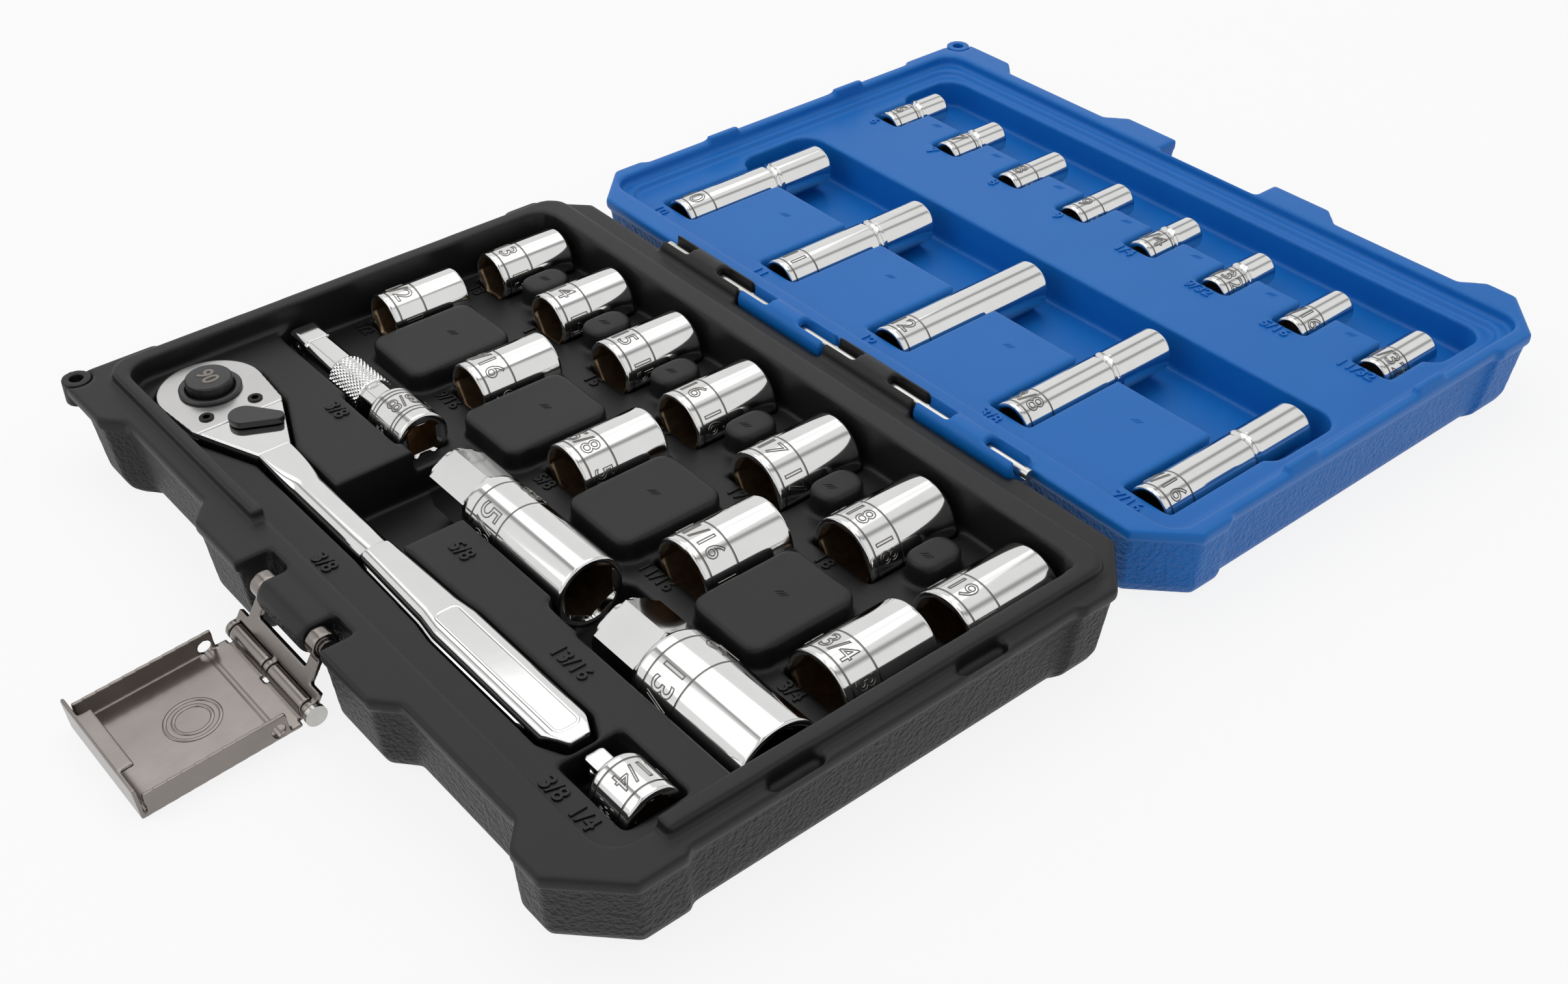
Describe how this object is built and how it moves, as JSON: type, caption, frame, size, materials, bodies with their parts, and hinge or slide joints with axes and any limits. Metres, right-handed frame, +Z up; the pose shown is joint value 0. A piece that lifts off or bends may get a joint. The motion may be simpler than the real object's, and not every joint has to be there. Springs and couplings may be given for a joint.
{
  "type": "socket wrench set in case",
  "caption": "Socket wrench set lying open in a hinged blow-moulded case: ratchet, extension bar, adapter, spark-plug sockets and rows of plain and deep sockets in fitted pockets.",
  "frame": {"origin": "middle of the underside of the base half of the case", "axes": "+X along the hinge towards the large sockets, +Y from the base to the opened lid, +Z up"},
  "size_m": [0.2818, 0.4455, 0.0331],
  "materials": {
    "black_case": "moulded, fine grain",
    "blue_case": "moulded, fine grain",
    "steel_rod": "drawn wire",
    "latch_steel": "stamped sheet, nickel plated",
    "black_plastic": "moulded",
    "black_rubber": "matt",
    "tool_steel": "bright",
    "chrome": "polished chrome plate"
  },
  "bodies": {
    "base": {"base_shell": "black_case", "base_lock_ear": "black_case", "hinge_rod": "steel_rod", "latch_rod": "steel_rod"},
    "lid": {"lid_shell": "blue_case", "lid_lock_ear": "blue_case"},
    "latch_link": {"latch_link": "latch_steel"},
    "latch_plate": {"latch_plate": "latch_steel", "latch_pin": "steel_rod"},
    "ratchet": {"ratchet_body": "chrome", "ratchet_cover": "chrome", "cover_screw_near": "tool_steel", "cover_screw_far": "tool_steel", "bezel_ring": "black_plastic", "pawl": "tool_steel", "pawl_spring": "tool_steel"},
    "ratchet_drive": {"drive_gear": "chrome", "anvil_ball": "tool_steel", "release_spring": "tool_steel"},
    "ratchet_lever": {"reverse_lever": "black_plastic"},
    "ratchet_button": {"release_button": "black_plastic", "release_pin": "tool_steel"},
    "extension": {"extension_bar": "chrome", "extension_ball": "tool_steel"},
    "adapter": {"adapter": "chrome", "adapter_ball": "tool_steel"},
    "spark_5_8in": {"spark_socket_5_8in": "chrome", "spark_insert_5_8in": "black_rubber"},
    "spark_13_16in": {"spark_socket_13_16in": "chrome", "spark_insert_13_16in": "black_rubber"},
    "socket_13mm": {"socket_13mm": "chrome"},
    "socket_14mm": {"socket_14mm": "chrome"},
    "socket_15mm": {"socket_15mm": "chrome"},
    "socket_16mm": {"socket_16mm": "chrome"},
    "socket_17mm": {"socket_17mm": "chrome"},
    "socket_18mm": {"socket_18mm": "chrome"},
    "socket_19mm": {"socket_19mm": "chrome"},
    "socket_1_2in": {"socket_1_2in": "chrome"},
    "socket_9_16in": {"socket_9_16in": "chrome"},
    "socket_5_8in": {"socket_5_8in": "chrome"},
    "socket_11_16in": {"socket_11_16in": "chrome"},
    "socket_3_4in": {"socket_3_4in": "chrome"},
    "deep_socket_10mm": {"deep_socket_10mm": "chrome"},
    "deep_socket_11mm": {"deep_socket_11mm": "chrome"},
    "deep_socket_12mm": {"deep_socket_12mm": "chrome"},
    "deep_socket_3_8in": {"deep_socket_3_8in": "chrome"},
    "deep_socket_7_16in": {"deep_socket_7_16in": "chrome"},
    "small_socket_6mm": {"small_socket_6mm": "chrome"},
    "small_socket_7mm": {"small_socket_7mm": "chrome"},
    "small_socket_8mm": {"small_socket_8mm": "chrome"},
    "small_socket_9mm": {"small_socket_9mm": "chrome"},
    "small_socket_1_4in": {"small_socket_1_4in": "chrome"},
    "small_socket_9_32in": {"small_socket_9_32in": "chrome"},
    "small_socket_5_16in": {"small_socket_5_16in": "chrome"},
    "small_socket_11_32in": {"small_socket_11_32in": "chrome"}
  },
  "joints": [
    {"name": "lid_hinge", "type": "hinge", "parent": "base", "child": "lid", "pos_m": [0, 0.09925, 0.0281], "axis": [-1, 0, 0], "range_deg": [-180, 0]},
    {"name": "latch_link_swing", "type": "hinge", "parent": "base", "child": "latch_link", "pos_m": [0, -0.09125, 0.0222], "axis": [-1, 0, 0], "range_deg": [0, 35]},
    {"name": "latch_plate_swing", "type": "hinge", "parent": "latch_link", "child": "latch_plate", "pos_m": [0, -0.10025, 0.0075], "axis": [-1, 0, 0], "range_deg": [0, 95]},
    {"name": "ratchet_lift", "type": "slide", "parent": "base", "child": "ratchet", "axis": [0, 0, 1], "range_m": [0, 0.045]},
    {"name": "drive_spin", "type": "hinge", "parent": "ratchet", "child": "ratchet_drive", "pos_m": [-0.1075, -0.06125, 0.0262], "axis": [0, 0, 1], "continuous": true},
    {"name": "lever_flip", "type": "hinge", "parent": "ratchet", "child": "ratchet_lever", "pos_m": [-0.085, -0.06125, 0.0262], "axis": [0, 0, 1], "range_deg": [-100, 0]},
    {"name": "button_press", "type": "slide", "parent": "ratchet", "child": "ratchet_button", "axis": [0, 0, -1], "range_m": [0, 0.0015], "stiffness_N_per_m": 600},
    {"name": "extension_lift", "type": "slide", "parent": "base", "child": "extension", "axis": [0, 0, 1], "range_m": [0, 0.045]},
    {"name": "adapter_lift", "type": "slide", "parent": "base", "child": "adapter", "axis": [0, 0, 1], "range_m": [0, 0.045]},
    {"name": "spark_5_8in_lift", "type": "slide", "parent": "base", "child": "spark_5_8in", "axis": [0, 0, 1], "range_m": [0, 0.045]},
    {"name": "spark_13_16in_lift", "type": "slide", "parent": "base", "child": "spark_13_16in", "axis": [0, 0, 1], "range_m": [0, 0.045]},
    {"name": "socket_13mm_lift", "type": "slide", "parent": "base", "child": "socket_13mm", "axis": [0, 0, 1], "range_m": [0, 0.045]},
    {"name": "socket_14mm_lift", "type": "slide", "parent": "base", "child": "socket_14mm", "axis": [0, 0, 1], "range_m": [0, 0.045]},
    {"name": "socket_15mm_lift", "type": "slide", "parent": "base", "child": "socket_15mm", "axis": [0, 0, 1], "range_m": [0, 0.045]},
    {"name": "socket_16mm_lift", "type": "slide", "parent": "base", "child": "socket_16mm", "axis": [0, 0, 1], "range_m": [0, 0.045]},
    {"name": "socket_17mm_lift", "type": "slide", "parent": "base", "child": "socket_17mm", "axis": [0, 0, 1], "range_m": [0, 0.045]},
    {"name": "socket_18mm_lift", "type": "slide", "parent": "base", "child": "socket_18mm", "axis": [0, 0, 1], "range_m": [0, 0.045]},
    {"name": "socket_19mm_lift", "type": "slide", "parent": "base", "child": "socket_19mm", "axis": [0, 0, 1], "range_m": [0, 0.045]},
    {"name": "socket_1_2in_lift", "type": "slide", "parent": "base", "child": "socket_1_2in", "axis": [0, 0, 1], "range_m": [0, 0.045]},
    {"name": "socket_9_16in_lift", "type": "slide", "parent": "base", "child": "socket_9_16in", "axis": [0, 0, 1], "range_m": [0, 0.045]},
    {"name": "socket_5_8in_lift", "type": "slide", "parent": "base", "child": "socket_5_8in", "axis": [0, 0, 1], "range_m": [0, 0.045]},
    {"name": "socket_11_16in_lift", "type": "slide", "parent": "base", "child": "socket_11_16in", "axis": [0, 0, 1], "range_m": [0, 0.045]},
    {"name": "socket_3_4in_lift", "type": "slide", "parent": "base", "child": "socket_3_4in", "axis": [0, 0, 1], "range_m": [0, 0.045]},
    {"name": "deep_socket_10mm_lift", "type": "slide", "parent": "lid", "child": "deep_socket_10mm", "axis": [0, 0, 1], "range_m": [0, 0.045]},
    {"name": "deep_socket_11mm_lift", "type": "slide", "parent": "lid", "child": "deep_socket_11mm", "axis": [0, 0, 1], "range_m": [0, 0.045]},
    {"name": "deep_socket_12mm_lift", "type": "slide", "parent": "lid", "child": "deep_socket_12mm", "axis": [0, 0, 1], "range_m": [0, 0.045]},
    {"name": "deep_socket_3_8in_lift", "type": "slide", "parent": "lid", "child": "deep_socket_3_8in", "axis": [0, 0, 1], "range_m": [0, 0.045]},
    {"name": "deep_socket_7_16in_lift", "type": "slide", "parent": "lid", "child": "deep_socket_7_16in", "axis": [0, 0, 1], "range_m": [0, 0.045]},
    {"name": "small_socket_6mm_lift", "type": "slide", "parent": "lid", "child": "small_socket_6mm", "axis": [0, 0, 1], "range_m": [0, 0.045]},
    {"name": "small_socket_7mm_lift", "type": "slide", "parent": "lid", "child": "small_socket_7mm", "axis": [0, 0, 1], "range_m": [0, 0.045]},
    {"name": "small_socket_8mm_lift", "type": "slide", "parent": "lid", "child": "small_socket_8mm", "axis": [0, 0, 1], "range_m": [0, 0.045]},
    {"name": "small_socket_9mm_lift", "type": "slide", "parent": "lid", "child": "small_socket_9mm", "axis": [0, 0, 1], "range_m": [0, 0.045]},
    {"name": "small_socket_1_4in_lift", "type": "slide", "parent": "lid", "child": "small_socket_1_4in", "axis": [0, 0, 1], "range_m": [0, 0.045]},
    {"name": "small_socket_9_32in_lift", "type": "slide", "parent": "lid", "child": "small_socket_9_32in", "axis": [0, 0, 1], "range_m": [0, 0.045]},
    {"name": "small_socket_5_16in_lift", "type": "slide", "parent": "lid", "child": "small_socket_5_16in", "axis": [0, 0, 1], "range_m": [0, 0.045]},
    {"name": "small_socket_11_32in_lift", "type": "slide", "parent": "lid", "child": "small_socket_11_32in", "axis": [0, 0, 1], "range_m": [0, 0.045]}
  ]
}
